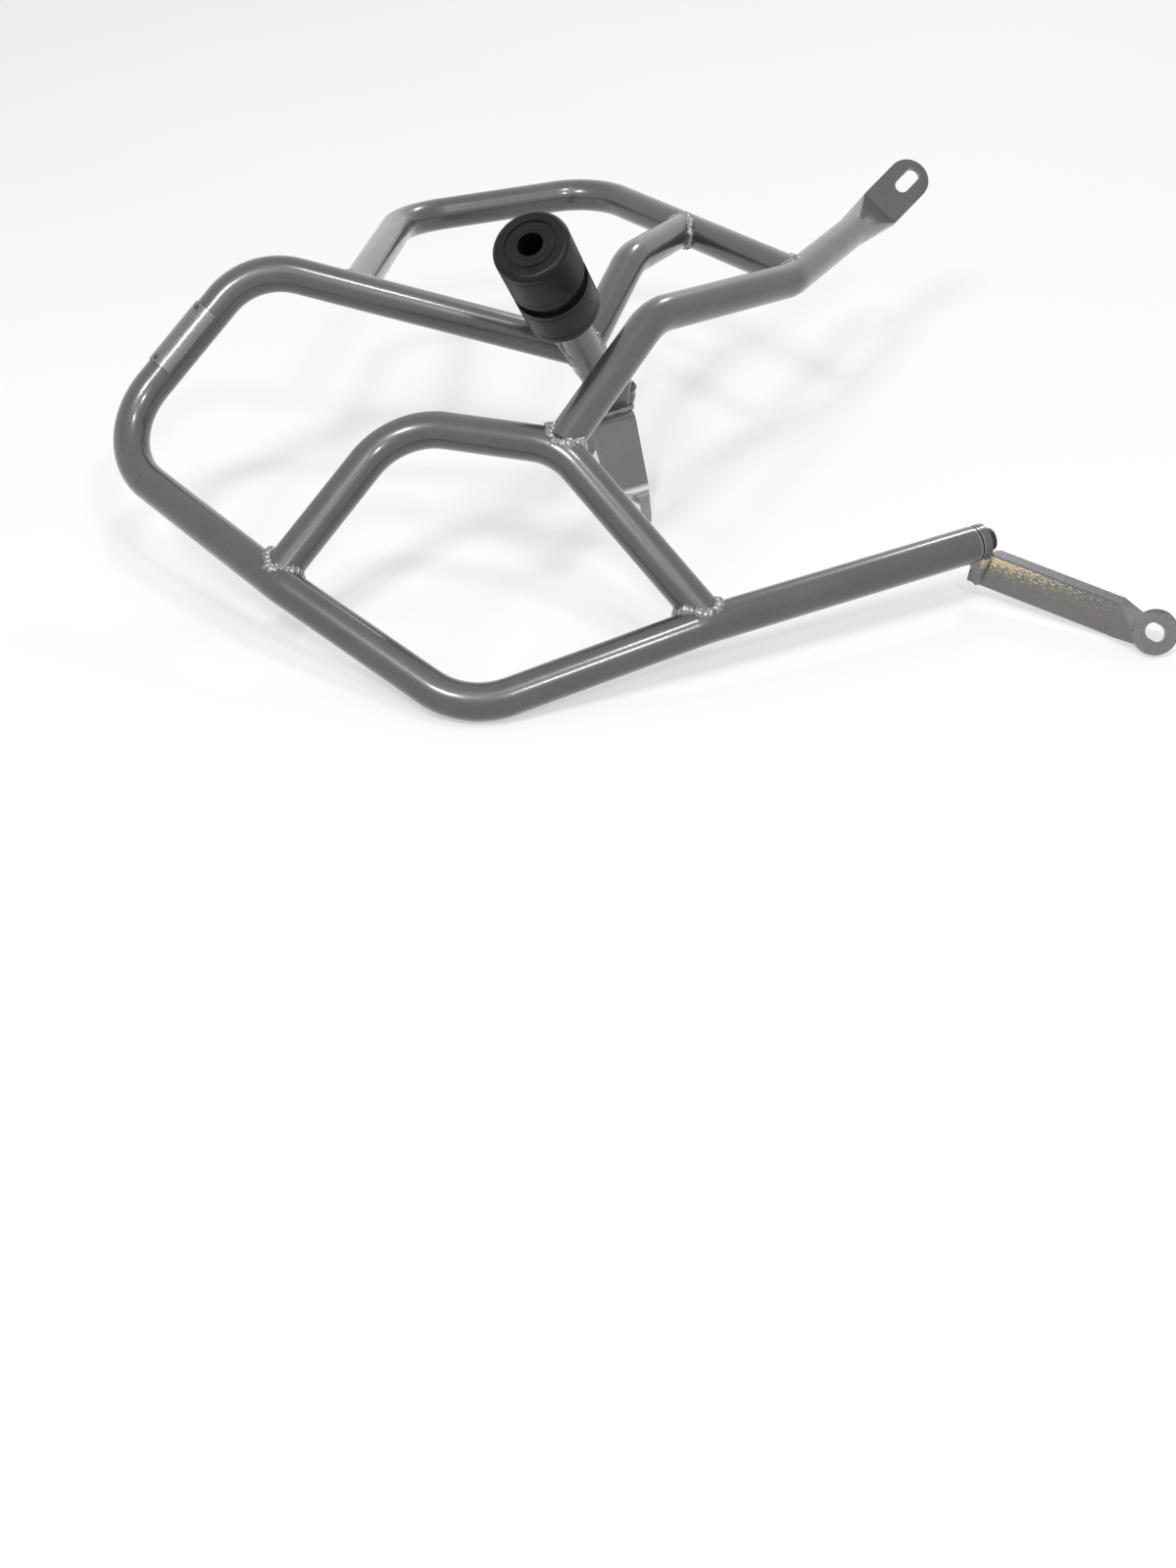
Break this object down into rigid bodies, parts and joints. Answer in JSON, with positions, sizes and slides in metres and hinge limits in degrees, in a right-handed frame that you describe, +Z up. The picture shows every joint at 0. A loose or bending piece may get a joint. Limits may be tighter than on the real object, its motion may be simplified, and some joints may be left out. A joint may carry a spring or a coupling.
{
  "type": "motorcycle crash bars",
  "caption": "Bent-tube side frame of motorcycle crash bars, grey coated, with a black slider, fork bracket and lower bracket.",
  "frame": {"origin": "under the middle of the frame's box, on the floor that it rests on", "axes": "+Z up as it rests, +X along the long loop tube towards its lower bracket, +Y towards the upper hoop"},
  "size_m": [0.727, 0.5837, 0.2469],
  "materials": {
    "powder_coat": "satin",
    "bracket": "satin",
    "slider": "matt",
    "black_screw": "satin",
    "bright": "brushed"
  },
  "bodies": {
    "root": {"loop_tube": "powder_coat", "mid_tube": "powder_coat", "arm_tube": "powder_coat", "hoop_tube": "powder_coat", "link_tube": "powder_coat", "post_tube": "powder_coat", "base_bracket": "powder_coat", "rear_lug": "powder_coat", "brace_strut": "powder_coat", "post_end_plug": "powder_coat", "loop_end_plug": "powder_coat", "slider_puck": "slider", "slider_ring": "bright", "slider_bolt": "black_screw", "slider_washer": "black_screw", "lower_bracket": "bracket", "spacer_washers": "bright", "lower_bolt": "black_screw", "bolt_washer": "black_screw", "name_plate": "bright", "plate_rivets": "bright"}
  },
  "joints": []
}
